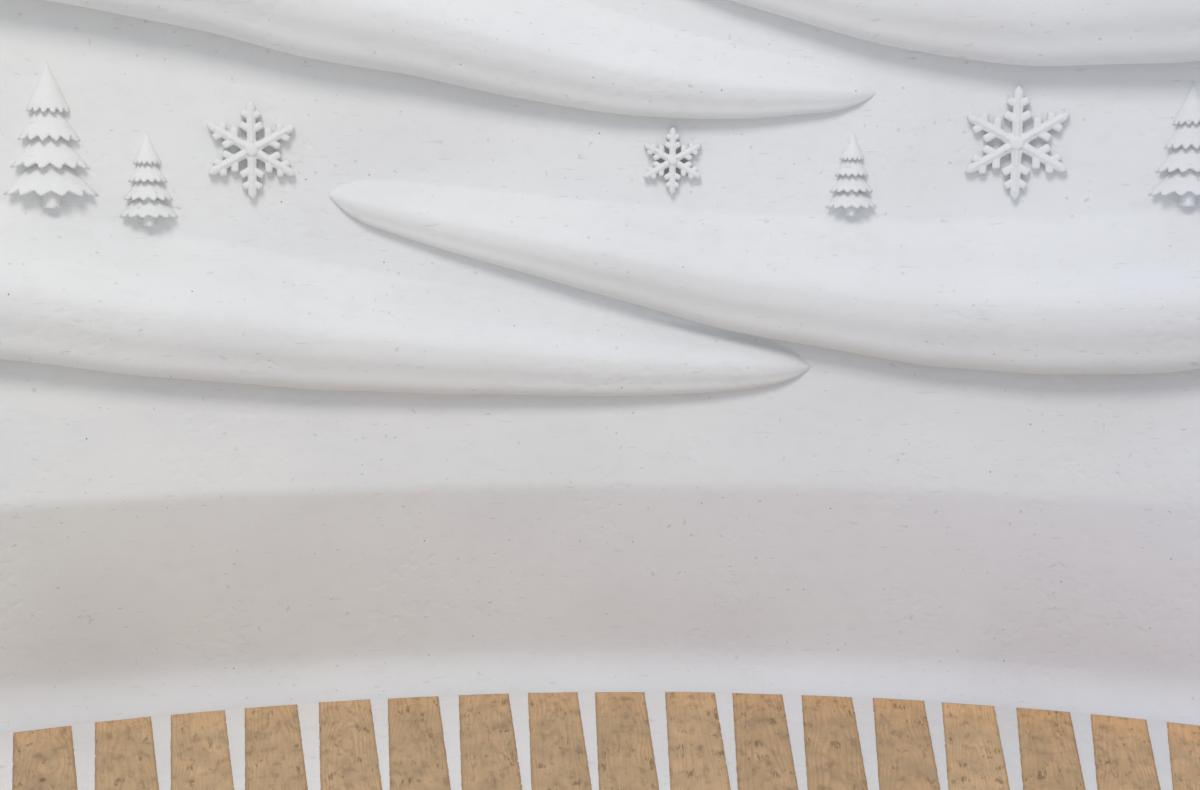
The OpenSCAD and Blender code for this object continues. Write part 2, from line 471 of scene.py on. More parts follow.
@dataclass(frozen=True)
class PineFinish:
    """Planed pine that has lain in a snow floor: pale, a little greyed and darkened by wear and damp.

    The eye gets long growth rings that close into arches, a knot here and there, warmer wood at the wall
    and on some boards, greyer wood where it is trodden, darker arrises, and crumbs of snow along the edges.
    It reads each board's own grain attribute: metres across and along the board, and the board's number.
    """

    name: str = "weathered_pine"
    early: str = "DEBA8D"
    late: str = "B99265"
    warm_early: str = "EBB980"
    warm_late: str = "C9965F"
    grey: str = "B29775"
    bruise: str = "7E684E"
    torn: str = "7A6044"
    knot: str = "654630"
    arris: str = "9C7344"
    crumb: str = "E2E0DF"
    ior: float = 1.5
    half_width: float = 72.5 * MM
    length: float = 0.85
    # The board is cut at a slight slope to the trunk's middle, which draws its rings out into arches
    ring_mm: float = 6.5
    slope: float = 0.022
    depths: Span = (0.0, 1.0, 4 * MM, 50 * MM)
    sway: float = 0.02
    sways: Pattern = Pattern((4.0, 3.0, 3.7), 2.0)
    stray: float = 0.06
    strays: Pattern = Pattern((1.0, 2.2, 6.1))
    fading: Pattern = Pattern((12.0, 5.0, 8.3), 2.0)
    faded: Span = (0.35, 0.65, 0.15, 0.75)
    # Knots of 10 to 25 mm in some of the cells of a grid of 170 by 330 mm, and the grain bent round them
    knot_grid: Triple = (6.0, 3.0, 2.3)
    knot_share: float = 0.4
    knot_heart: Span = (0.03, 0.07, 1.0, 0.0)
    knot_bend: Span = (0.04, 0.3, 1.0, 0.0)
    knot_dark: float = 0.8
    bend: float = 7 * MM
    # Fine fibres run 1 mm apart; they are drawn 3 mm apart, as coarse as they need to be to show
    fibres: Pattern = Pattern((330.0, 7.0, 5.0), 3.0)
    fibrous: Span = (0.3, 0.7, 0.0, 0.5)
    # Wear greys the wood away from the wall, more on some boards than on others
    tread: Pattern = Pattern((16.0, 9.0, 3.1), 5.0)
    walked: Span = (0.85, 0.55, -0.1, 0.12)
    grimed: Span = (0.42, 0.8, 0.0, 0.7)
    roughness: Span = (0.3, 0.7, 0.48, 0.72)
    # Scuffs and damp bruises, 5 to 20 mm wide and two or three times as long
    scuffs: Pattern = Pattern((46.0, 17.0, 9.0), 5.0)
    scuffed: Span = (0.52, 0.76, 0.0, 0.62)
    # Checks and torn grain, 1 to 4 mm wide and up to 100 mm long, where the wood was wet and dried again
    checks: Pattern = Pattern((58.0, 4.5, 11.0), 3.0)
    check_level: float = 0.52
    breaks: Pattern = Pattern((24.0, 16.0, 2.9), 4.0)
    broken: Span = (0.5, 0.72, 0.0, 0.05)
    opened: Span = (0.0, 0.02, 0.0, 0.75)
    # Boards to the right are fresher and warmer, and so are a few others and the wood at the wall
    rightward: Span = (-0.3, 1.6, -0.1, 0.55)
    outward: Span = (0.62, 0.84, -0.25, 0.3)
    own_warmth: float = 0.4
    toned: Span = (0.0, 1.0, 1.1, 0.88)
    # The arrises hold dirt and damp, and crumbs of snow stick to them; both are measured from the middle line
    soak_waver: float = 12 * MM
    soaked: Span = (58.5 * MM, 66.5 * MM, 0.0, 0.7)
    crumbs: Pattern = Pattern((80.0, 55.0, 7.0), 2.0)
    at_edge: Span = (60 * MM, 72.5 * MM, -0.4, 0.24)
    crumbed: Span = (0.78, 0.84, 0.0, 0.95)
    ridge_mm: float = 0.12
    pore_mm: float = 0.5
    relief_share: float = 0.8

    def knots(self, tree: NodeTree, grain: NodeSocket) -> tuple[Node, Node]:
        """Scatters the knots.

        Args:
            tree: The material's node tree.
            grain: Socket of the board's grain attribute.

        Returns:
            The nodes of two masks: the heart of each knot, and the bent grain round it.
        """
        add = partial(add_node, tree)
        place = add("Mapping", {"Vector": grain, "Scale": Vector(self.knot_grid)})
        away, cell = add("TexVoronoi", {"Vector": place, "Scale": 1.0}).outputs[:2]
        few = add("Math", (add("SeparateColor", (cell,)), 1 - self.knot_share), operation="GREATER_THAN")
        spots = [add("MapRange", (away, *span)) for span in (self.knot_heart, self.knot_bend)]
        heart, bent = (add("Math", (spot, few), operation="MULTIPLY") for spot in spots)
        return heart, bent

    def rings(self, tree: NodeTree, grain: NodeSocket, bent: Node) -> Node:
        """Draws the growth rings.

        Args:
            tree: The material's node tree.
            grain: Socket of the board's grain attribute.
            bent: Node of the mask of bent grain.

        Returns:
            The node of a wave of -1 to 1 that follows the rings.
        """
        add = partial(add_node, tree)
        across, along, own = add("SeparateXYZ", (grain,)).outputs
        start = add("TexWhiteNoise", {"W": own}, noise_dimensions="1D")
        depth = add("MapRange", (start, *self.depths))
        sloped = add("Math", (along, self.slope, depth), operation="MULTIPLY_ADD")
        deep = add("Math", (self.sways.lay(tree, grain), self.sway, sloped), operation="MULTIPLY_ADD")
        aside = add("Math", (self.strays.lay(tree, grain), self.stray, across), operation="MULTIPLY_ADD")
        middle = add("Math", (aside, self.stray / 2), operation="SUBTRACT")
        squares = tuple(add("Math", (part, 2.0), operation="POWER") for part in (middle, deep))
        radius = add("Math", (add("Math", squares), 0.5), operation="POWER")
        pushed = add("Math", (bent, self.bend, radius), operation="MULTIPLY_ADD")
        turns = add("Math", (pushed, math.tau / (self.ring_mm * MM)), operation="MULTIPLY")
        return add("Math", (turns,), operation="SINE")

    def warmth(self, tree: NodeTree, along: NodeSocket, chance: Node) -> Node:
        """Warms the fresher boards to the right and a few others, most of all at the wall.

        Args:
            tree: The material's node tree.
            along: Socket of the metres along the board.
            chance: Node of the board's own chance, 0 to 1.

        Returns:
            The node of the share of warm wood.
        """
        add = partial(add_node, tree)
        place = add("SeparateXYZ", (add("TexCoord").outputs["Object"],))
        rightward = add("MapRange", (place, *self.rightward))
        outward = add("MapRange", (along, *self.outward))
        warm = add("Math", (chance, self.own_warmth, rightward), operation="MULTIPLY_ADD")
        return add("Math", (warm, outward), use_clamp=True)

    def checked(self, tree: NodeTree, grain: NodeSocket) -> Node:
        """Opens checks along the grain.

        Args:
            tree: The material's node tree.
            grain: Socket of the board's grain attribute.

        Returns:
            The node of their mask.
        """
        add = partial(add_node, tree)
        off = add("Math", (self.checks.lay(tree, grain), self.check_level), operation="SUBTRACT")
        near = add("Math", (off,), operation="ABSOLUTE")
        wide = add("MapRange", (self.breaks.lay(tree, grain), *self.broken))
        line = add("Math", (wide, near), operation="SUBTRACT")
        return add("MapRange", (line, *self.opened))

    def edged(self, tree: NodeTree, grain: NodeSocket, wood: Node, tread: Node) -> Node:
        """Soaks the arrises with dirt and damp, and sticks crumbs of snow to them.

        Args:
            tree: The material's node tree.
            grain: Socket of the board's grain attribute.
            wood: Node of the wood's colour.
            tread: Node of the pattern of wear.

        Returns:
            The node of the board's colour.
        """
        add = partial(add_node, tree)
        across, along, _ = add("SeparateXYZ", (grain,)).outputs
        side = add("Math", (across,), operation="ABSOLUTE")
        end = add("Math", (along, self.length - self.half_width), operation="SUBTRACT")
        out = add("Math", (side, end), operation="MAXIMUM")
        soak = add("Math", (tread, -self.soak_waver, out), operation="MULTIPLY_ADD")
        crumbs = add("Math", (self.crumbs.lay(tree, grain), add("MapRange", (out, *self.at_edge))))
        for mask, coat in (((soak, *self.soaked), self.arris), ((crumbs, *self.crumbed), self.crumb)):
            wood = add("Mix", {0: add("MapRange", mask), 6: wood, 7: coat}, data_type="RGBA")
        return wood

    def make(self) -> Material:
        """Makes the finish.

        Returns:
            The material.
        """
        material, tree = begin_material(self.name)
        add = partial(add_node, tree)
        grain = add("Attribute", attribute_name="grain").outputs["Vector"]
        _, along, own = add("SeparateXYZ", (grain,)).outputs
        chance = add("TexWhiteNoise", {"W": own}, noise_dimensions="1D")
        heart, bent = self.knots(tree, grain)
        wave = self.rings(tree, grain, bent)
        warmth = self.warmth(tree, along, chance)
        woods = ((self.early, self.warm_early), (self.late, self.warm_late))
        early, late = (add("Mix", {0: warmth, 6: cool, 7: warm}, data_type="RGBA") for cool, warm in woods)
        laid = (pattern.lay(tree, grain) for pattern in (self.fading, self.fibres, self.tread, self.scuffs))
        fading, fibres, tread, scuffs = laid
        faded = add("MapRange", (fading, *self.faded))
        grime = add("Math", (tread, add("MapRange", (along, *self.walked))))
        coats = (
            (add("MapRange", (wave, 0.0, 1.0, 0.0, faded)), late),
            (add("MapRange", (fibres, *self.fibrous)), late),
            (add("MapRange", (grime, *self.grimed)), self.grey),
            (add("MapRange", (scuffs, *self.scuffed)), self.bruise),
            (self.checked(tree, grain), self.torn),
            (add("Math", (heart, self.knot_dark), operation="MULTIPLY"), self.knot),
        )
        wood = early
        for share, coat in coats:
            wood = add("Mix", {0: share, 6: wood, 7: coat}, data_type="RGBA")
        tone = add("MapRange", (chance, *self.toned))
        wood = self.edged(tree, grain, add("VectorMath", {0: wood, "Scale": tone}, operation="SCALE"), tread)
        pores = add("Math", (fibres, -self.pore_mm * MM), operation="MULTIPLY")
        ridges = add("Math", (wave, self.ridge_mm * MM, pores), operation="MULTIPLY_ADD")
        bump = add("Bump", {"Strength": self.relief_share, "Distance": 1.0, "Height": ridges})
        damp = add("MapRange", (tread, *self.roughness))
        surface = {"Base Color": wood, "Roughness": damp, "IOR": self.ior, "Normal": bump}
        add("OutputMaterial", (add("BsdfPrincipled", surface),))
        return material


def placed(bm: BMesh, name: str, materials: Iterable[Material]) -> Object:
    """Puts a finished bmesh into the scene.

    Args:
        bm: The mesh in its place. It is freed.
        name: The object's name.
        materials: Its finishes, in the order of the faces' material numbers.

    Returns:
        The object.
    """
    mesh = bpy.data.meshes.new(name)
    bm.to_mesh(mesh)
    bm.free()
    for material in materials:
        mesh.materials.append(material)
    made = bpy.data.objects.new(name, mesh)
    bpy.context.scene.collection.objects.link(made)
    return made


def as_piece(
    bm: BMesh,
    name: str,
    replaced: Iterable[str],
    materials: Iterable[Material],
    sharp: float = 50,
) -> Object:
    """Makes a finished bmesh into a piece that rides on the wall and stands for its CAD nodes.

    Args:
        bm: The closed mesh in its place. It is freed.
        name: The piece's name.
        replaced: Names of the CAD nodes that it stands for.
        materials: Its finishes, in the order of the faces' material numbers.
        sharp: Least angle in degrees at which two faces meet in a crisp edge.

    Returns:
        The piece.
    """
    bmesh.ops.recalc_face_normals(bm, faces=bm.faces)
    if bm.calc_volume(signed=True) < 0:
        bmesh.ops.reverse_faces(bm, faces=bm.faces)
    for face in bm.faces:
        face.smooth = True
    for edge in bm.edges:
        edge.smooth = edge.calc_face_angle(0.0) < math.radians(sharp)
    piece = placed(bm, name, materials)
    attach(piece, BODY)
    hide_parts(*replaced)
    return piece


def close_holes(bm: BMesh) -> None:
    """Closes every open edge loop with a face."""
    bmesh.ops.holes_fill(bm, edges=[e for e in bm.edges if e.is_boundary], sides=0)


def rounded(bm: BMesh, edges: list[BMEdge], offset: float) -> None:
    """Rounds edges over with a bevel of three segments."""
    shape = {"offset": offset, "segments": 3, "profile": 0.5, "affect": "EDGES"}
    bmesh.ops.bevel(bm, geom=edges, clamp_overlap=True, material=-1, **shape)


def melted(bm: BMesh, voxel: float, rounds: int, full: float) -> BMesh:
    """Joins overlapping closed shells into one skin and softens it, as a carver's hand does with snow.

    Args:
        bm: The shells. It is freed.
        voxel: Distance between the skin's points.
        rounds: Rounds of smoothing.
        full: How far the softened skin is filled out again, which rounds its edges.

    Returns:
        The skin.
    """
    bmesh.ops.recalc_face_normals(bm, faces=bm.faces)
    shells = placed(bm, "shells", ())
    remesh = shells.modifiers.new("skin", "REMESH")
    remesh.mode = "VOXEL"
    remesh.voxel_size = voxel
    smooth = shells.modifiers.new("soften", "SMOOTH")
    smooth.factor = 0.5
    smooth.iterations = rounds
    joined = bpy.data.meshes.new_from_object(shells.evaluated_get(bpy.context.evaluated_depsgraph_get()))
    skin = bmesh.new()
    skin.from_mesh(joined)
    for mesh in (shells.data, joined):
        bpy.data.meshes.remove(mesh)
    skin.normal_update()
    for vert, normal in [(v, v.normal.copy()) for v in skin.verts]:
        vert.co += normal * full
    return skin


class Zone(IntEnum):
    """The stretches of the wall's section, by how their snow was worked."""

    COVE = 1
    FACE = 2
    TOP = 3
    BACK = 4
    GROUND = 5


@dataclass(frozen=True)
class SectionPoint:
    """A point of the wall's section: its stretch, its place and its height along the inner face."""

    zone: Zone
    radius: float
    z: float
    height: float = 0.0


@dataclass
class SnowWall:
    """The bay's wall as one mass of snow: cove, foot band, lip, hand-smoothed face, sawn ends, rough back.

    Its lip is crisp at the bay's left end and softer towards the right.
    """

    room: Room
    band_back: float = 0.05
    crisp_lip: float = 0.03
    soft_lip: float = 0.14
    crisp_until: float = -1.2
    soft_from: float = 1.4
    lip_waver: Ripple = Ripple((1.6, 0.0), 5 * MM, 5.2)
    top_thick: float = 0.52
    bulge: float = 0.09
    lumps: float = 0.02
    mean_lump: float = 0.5
    broad_lumps: Ripple = Ripple((1.7, 2.2), 0.6, 9.4)
    small_lumps: Ripple = Ripple((5.0, 7.0), 0.25, 1.3)
    saw_deep: float = 1.5 * MM
    saw_marks: Ripple = Ripple((9.0, 9.0), 1.0, 2.0)
    columns: int = 290
    foot_steps: int = 3
    cove_steps: int = 12
    top_steps: int = 12
    ground_steps: int = 8
    face_step: float = 0.015
    lip_step: float = 7 * MM
    lip_reach: float = 0.7
    back_step: float = 0.045

    def recess(self, angle: float, height: float) -> float:
        """Works out how the foot band falls back: not above the lip, and more and more under it.

        Args:
            angle: Angle round the room.
            height: Height along the face, above the floor.

        Returns:
            How far the wall lies back there.
        """
        along = angle * self.room.radius
        slope = self.band_back / (self.room.lip - self.room.cove)
        under = self.room.lip + self.lip_waver.at(along, 0.0) - height
        reach = mix(self.crisp_lip, self.soft_lip, ease(along, self.crisp_until, self.soft_from))
        if under > reach / 2:
            return slope * under
        return slope * max(under + reach / 2, 0.0) ** 2 / (2 * reach)

    def section(self) -> list[SectionPoint]:
        """Draws the section up the inner face, over the top, down the back and home.

        Returns:
            The section's points.
        """
        room, foot = self.room, self.foot_steps
        points = [SectionPoint(Zone.COVE, room.toe, room.floor_top * i / foot) for i in range(foot)]
        for i in range(self.cove_steps):
            turn = math.radians(-90 + 90 * i / self.cove_steps)
            z = room.floor_top + room.cove * (1 + math.sin(turn))
            points.append(SectionPoint(Zone.COVE, room.toe + room.cove * math.cos(turn), z))
        height = room.cove
        while height < room.face_length:
            face = room.point(0.0, height, 0.0)
            points.append(SectionPoint(Zone.FACE, room.radius_of(face), face.z, height))
            at_lip = abs(height - room.lip) < self.soft_lip * self.lip_reach
            height += self.lip_step if at_lip else self.face_step
        inner = room.radius_of(room.point(0.0, room.face_length, 0.0))
        points.append(SectionPoint(Zone.FACE, inner, room.top, room.face_length))
        for i in range(1, self.top_steps):
            points.append(SectionPoint(Zone.TOP, inner + self.top_thick * i / self.top_steps, room.top))
        steps = round(room.top / self.back_step)
        for i in range(steps + 1):
            t = i / steps
            radius = mix(inner + self.top_thick, room.base_out, t) + self.bulge * 4 * t * (1 - t)
            points.append(SectionPoint(Zone.BACK, radius, room.top * (1 - t)))
        for i in range(1, self.ground_steps):
            points.append(SectionPoint(Zone.GROUND, mix(room.base_out, room.toe, i / self.ground_steps), 0.0))
        return points

    def work(self, vert: BMVert, zone: Zone, height: float) -> None:
        """Moves a point of the plain wall to where hand, saw or weather left the snow.

        Args:
            vert: The point.
            zone: Its stretch of the section.
            height: Its height along the inner face.
        """
        room = self.room
        angle, radius, z = room.angle_of(vert.co), room.radius_of(vert.co), vert.co.z
        along = angle * room.radius
        if zone is Zone.FACE:
            vert.co = room.on_face(angle, height, -self.recess(angle, height))
            vert.co.z = min(vert.co.z, room.top)
        elif zone is Zone.COVE:
            up = ease(z, room.floor_top, room.floor_top + room.cove)
            vert.co = room.polar(angle, radius - room.swell(angle, room.cove) * up, z)
        elif zone is Zone.TOP:
            vert.co.z -= self.saw_deep * (1 + self.saw_marks.at(along, radius))
        elif zone is Zone.BACK:
            lump = self.broad_lumps.at(along, z) + self.small_lumps.at(along, z)
            vert.co = room.polar(angle, radius - self.lumps * (self.mean_lump + lump), z)

    def build(self, smoothed: Material, sawn: Material, blown: Material) -> Object:
        """Builds the wall from its section, swept round the room's axis.

        Args:
            smoothed: Finish of the inner face.
            sawn: Finish of the top, the ends and the ground face.
            blown: Finish of the back.

        Returns:
            The piece.
        """
        room = self.room
        bm = bmesh.new()
        zones = bm.verts.layers.int.new("zone")
        heights = bm.verts.layers.float.new("height")
        ring = []
        for point in self.section():
            vert = bm.verts.new(room.polar(-room.half_angle, point.radius, point.z))
            vert[zones] = point.zone
            vert[heights] = point.height
            ring.append(vert)
        edges = [bm.edges.new((ring[i - 1], ring[i])) for i in range(len(ring))]
        turn = {"cent": (0, room.axis_y, 0), "axis": (0, 0, -1), "angle": 2 * room.half_angle}
        plain = {"use_merge": False, "use_duplicate": False}
        bmesh.ops.spin(bm, geom=ring + edges, dvec=(0, 0, 0), steps=self.columns, **turn, **plain)
        for vert in bm.verts:
            self.work(vert, Zone(vert[zones]), vert[heights])
        for face in bm.faces:
            zone = max(vert[zones] for vert in face.verts)
            face.material_index = {Zone.TOP: 1, Zone.GROUND: 1, Zone.BACK: 2}.get(zone, 0)
        swept = len(bm.faces)
        close_holes(bm)
        bm.faces.ensure_lookup_table()
        for face in bm.faces[swept:]:
            face.material_index = 1
        nodes = [f"wall_segment_{i}" for i in range(1, SEGMENTS + 1)]
        return as_piece(bm, "snow_wall", nodes, (smoothed, sawn, blown))


@dataclass(frozen=True)
class Relief:
    """The field of the wall that is carved, between a plain foot and a plain crown."""

    room: Room
    plain: float = 0.85
    crown: float = 0.1

    def height(self, share: float) -> float:
        """Returns the height along the face at a share of the field's height."""
        return self.plain + share * (self.room.face_length - self.crown - self.plain)


@dataclass(frozen=True)
class CrestLine:
    """The crest of a snowdrift: a smooth line through stations of (place, height, size).

    A place runs from -1 at the bay's left end to 1 at its right end. A height is a share of the
    relief's, and a size is a share of a full snowdrift's.
    """

    stations: tuple[Triple, ...]

    @property
    def ends(self) -> tuple[float, float]:
        """The places where the line starts and ends."""
        return self.stations[0][0], self.stations[-1][0]

    def at(self, place: float) -> tuple[float, float]:
        """Follows the line to a place.

        Args:
            place: Place across the bay.

        Returns:
            The height and the size there.
        """
        line = self.stations
        i = max([j for j in range(len(line) - 1) if line[j][0] <= place + 1e-6], default=0)
        gap = line[i + 1][0] - line[i][0]
        t = (place - line[i][0]) / gap
        found = []
        for column in (1, 2):
            slopes = []
            for j in (i, i + 1):
                a, b = line[max(j - 1, 0)], line[min(j + 1, len(line) - 1)]
                slopes.append((b[column] - a[column]) / (b[0] - a[0]) * gap)
            start, end = line[i][column], line[i + 1][column]
            value = (2 * t**3 - 3 * t**2 + 1) * start + (3 * t**2 - 2 * t**3) * end
            found.append(value + (t**3 - 2 * t**2 + t) * slopes[0] + (t**3 - t**2) * slopes[1])
        return found[0], found[1]


@dataclass
class SnowDrift:
    """A snowdrift carved out of the wall: a long soft side above its crest, a full steep one under it.

    Its section is drawn for a full drift: how far it goes up and down the wall from the crest and how far
    it stands out, a stroke of the tool along the soft side, and a slight hollow in the steep one.
    """

    number: int
    relief: Relief
    crest: CrestLine
    up: float = 0.25
    down: float = 0.19
    stand: float = 0.17
    soft_power: float = 0.8
    fall_power: float = 1.6
    out_power: float = 3.4
    edge_share: float = 0.5
    undercut: float = 0.16
    undercut_power: float = 1.5
    hollow: float = 0.05
    hollow_at: float = 0.58
    hollow_wide: float = 0.2
    stroke: float = 5 * MM
    stroke_at: float = 0.45
    stroke_wide: float = 0.07
    # Along the crest the hand's unevenness runs by the place, so its waves are to half the bay's width
    press: float = 0.5
    pressed: Ripple = Ripple((3.0, 1.0))
    uneven: Ripple = Ripple((5.0, 0.0), 0.05, 0.0, 3.7)
    waver: Ripple = Ripple((7.0, 2.0), 0.01, 0.0, 1.9)
    skirt: float = 1.12
    sink: float = 4 * MM
    tail: float = 0.02
    ring_step: float = 0.012
    around: int = 96
    upper_end: float = 0.42
    lower_end: float = 0.82

    def crest_at(self, place: float) -> tuple[float, float]:
        """Returns the crest's height along the face and the drift's size at a place."""
        height, size = self.crest.at(place)
        return self.relief.height(height), size

    def taper(self, place: float) -> float:
        """Returns the share by which the drift shrinks as its tail closes at its free end."""
        free = [abs(place - end) for end in self.crest.ends if abs(end) < 1]
        return math.sqrt(min(free[0] / self.tail, 1.0)) if free else 1.0

    def section(self, place: float, turn: float) -> tuple[float, float]:
        """Finds a point of the drift's section.

        Args:
            place: Place across the bay.
            turn: Share of the way round the section: over the soft side, under the crest, up the back.

        Returns:
            Its height along the face and how far it stands out.
        """
        height, size = self.crest_at(place)
        taper = self.taper(place)
        hand = 1 + self.uneven.at(place, 1.0, self.number)
        size *= taper
        height += size * self.waver.at(place, 1.0, self.number)
        if turn <= self.upper_end:
            t = self.skirt * (1 - turn / self.upper_end)
            over = max(t - 1, 0.0) / (self.skirt - 1)
            out = size * hand * self.stand * ((1 + math.cos(math.pi * min(t, 1.0))) / 2) ** self.soft_power
            stroke = self.stroke * size * math.exp(-(((t - self.stroke_at) / self.stroke_wide) ** 2))
            stroke *= self.press + self.pressed.at(place, 1.0, self.number)
            return height + t * size * self.up, out + stroke - self.sink * taper * over**2
        if turn <= self.lower_end:
            # The face under the crest is slightly hollow, then rounds over a crisp lower edge and is undercut
            t = (turn - self.upper_end) / (self.lower_end - self.upper_end) * math.pi / 2
            fall, out = math.sin(t) ** (2 / self.fall_power), math.cos(t) ** (2 / self.out_power)
            fall -= self.undercut * max(1 - out / self.edge_share, 0.0) ** self.undercut_power
            out -= self.hollow * math.exp(-(((fall - self.hollow_at) / self.hollow_wide) ** 2))
            return height - fall * size * self.down, size * hand * self.stand * out
        t = (turn - self.lower_end) / (1 - self.lower_end)
        back = mix(-self.down * (1 - self.undercut), self.skirt * self.up, t)
        return height + size * back, -self.sink * taper

    def build(self, carved: Material) -> Object:
        """Builds the drift: a sheet is rolled into a tube along the crest, and its open end is closed.

        Args:
            carved: Its finish.

        Returns:
            The piece.
        """
        room = self.relief.room
        start, end = self.crest.ends
        rings = round((end - start) * room.half_angle * room.radius / self.ring_step)
        bm = bmesh.new()
        bmesh.ops.create_grid(bm, x_segments=rings, y_segments=self.around, size=1.0)
        for vert in bm.verts:
            place = mix(start, end, (vert.co.x + 1) / 2)
            height, out = self.section(place, (vert.co.y + 1) / 2)
            vert.co = room.on_face(place * room.half_angle, height, out)
        bmesh.ops.remove_doubles(bm, verts=bm.verts, dist=0.02 * MM)
        close_holes(bm)
        name = f"carved_drift_{self.number}"
        return as_piece(bm, name, [f"snowdrift_{self.number}"], (carved,))


def lay_on_wall(bm: BMesh, room: Room, place: float, height: float) -> None:
    """Bends a flat carving onto the wall: its X runs along the wall, its Y up it and its Z out of it.

    Args:
        bm: The carving.
        room: The room.
        place: Place across the bay of the carving's origin.
        height: Height along the face of the carving's origin.
    """
    spread = room.radius * math.cos(room.lean(height))
    for vert in bm.verts:
        angle = place * room.half_angle + vert.co.x / spread
        vert.co = room.on_face(angle, height + vert.co.y, vert.co.z)


@dataclass
class CarvedFir:
    """A fir in half relief: a short trunk and four tiers of drooping boughs, each over the next.

    Where a size isn't its tallest, its thickness or a depth in the wall, it is a share of its height.
    """

    number: int
    relief: Relief
    place: float
    drift: SnowDrift
    share: float
    tallest: float = 0.37
    thick: float = 0.06
    thinner: float = 0.13
    clear: float = 5 * MM
    buried: float = 8 * MM
    tiers: int = 4
    first_foot: float = 0.12
    tier_step: float = 0.19
    tier_height: float = 0.3
    reach: float = 0.3
    reach_step: float = 0.053
    boughs: int = 14
    sides_per_bough: int = 6
    cuts: int = 6
    bough_out: float = 0.07
    droop: float = 0.018
    hollow: float = 0.05
    flare_power: float = 1.25
    point: float = 0.03
    trunk_foot: float = 0.058
    trunk_top: float = 0.045
    trunk_long: float = 0.3
    trunk_thick: float = 0.62
    trunk_sides: int = 24
    voxel: float = 3 * MM
    soften_rounds: int = 3
    fill_out: float = 2.5 * MM

    def tier(self, bm: BMesh, number: int, height: float) -> None:
        """Adds one tier of boughs: a flared cone with a scalloped, drooping rim and a hollow under it.

        Args:
            bm: The fir, drawn flat.
            number: Number of the tier, 0 for the lowest.
            height: The fir's height.
        """
        foot = self.first_foot + self.tier_step * number
        top = 1.0 if number == self.tiers - 1 else foot + self.tier_height
        reach = (self.reach - self.reach_step * number) * height
        deep = self.thick * (1 - self.thinner * number)
        sides = self.sides_per_bough * self.boughs
        cone = {"segments": sides, "radius1": 1.0, "radius2": self.point, "depth": 1.0}
        bmesh.ops.create_cone(bm, cap_ends=True, cap_tris=True, **cone)
        uprights = [e for e in bm.edges if abs(e.verts[0].co.z - e.verts[1].co.z) > 0.5]
        bmesh.ops.subdivide_edges(bm, edges=uprights, cuts=self.cuts, use_grid_fill=True)
        shaped = bm.verts.layers.int.get("shaped") or bm.verts.layers.int.new("shaped")
        for vert in [v for v in bm.verts if not v[shaped]]:
            vert[shaped] = 1
            up = vert.co.z + 0.5
            turn = math.atan2(vert.co.y, vert.co.x)
            flare = math.hypot(vert.co.x, vert.co.y) ** self.flare_power
            rim = (1 - up) ** 2
            finger = math.cos(self.boughs * turn)
            reached = flare * (1 + self.bough_out * rim * finger)
            rise = mix(foot, top, up) - self.droop * rim * (1 + finger) * flare
            if up < 1e-4:
                rise += self.hollow * (1 - flare)
            out = max(deep * reached * math.sin(turn), -self.buried)
            vert.co = (reach * reached * math.cos(turn), rise * height, out)

    def build(self, carved: Material) -> Object:
        """Builds the fir flat, melts its shells into one skin and bends it onto the wall.

        Args:
            carved: Its finish.

        Returns:
            The piece.
        """
        height = self.share * self.tallest
        bm = bmesh.new()
        for number in range(self.tiers):
            self.tier(bm, number, height)
        trunk = {"radius1": self.trunk_foot, "radius2": self.trunk_top, "depth": self.trunk_long}
        for vert in bmesh.ops.create_cone(bm, cap_ends=True, segments=self.trunk_sides, **trunk)["verts"]:
            up = (vert.co.z + self.trunk_long / 2) * height
            out = max(vert.co.y / self.trunk_foot * self.thick * self.trunk_thick, -self.buried)
            vert.co = (vert.co.x * height, up, out)
        bm = melted(bm, self.voxel, self.soften_rounds, self.fill_out)
        crest, size = self.drift.crest_at(self.place)
        lay_on_wall(bm, self.relief.room, self.place, crest + size * self.drift.up + self.clear)
        name = f"fir_relief_{self.number}"
        return as_piece(bm, name, [f"carved_fir_{self.number}"], (carved,), 180)


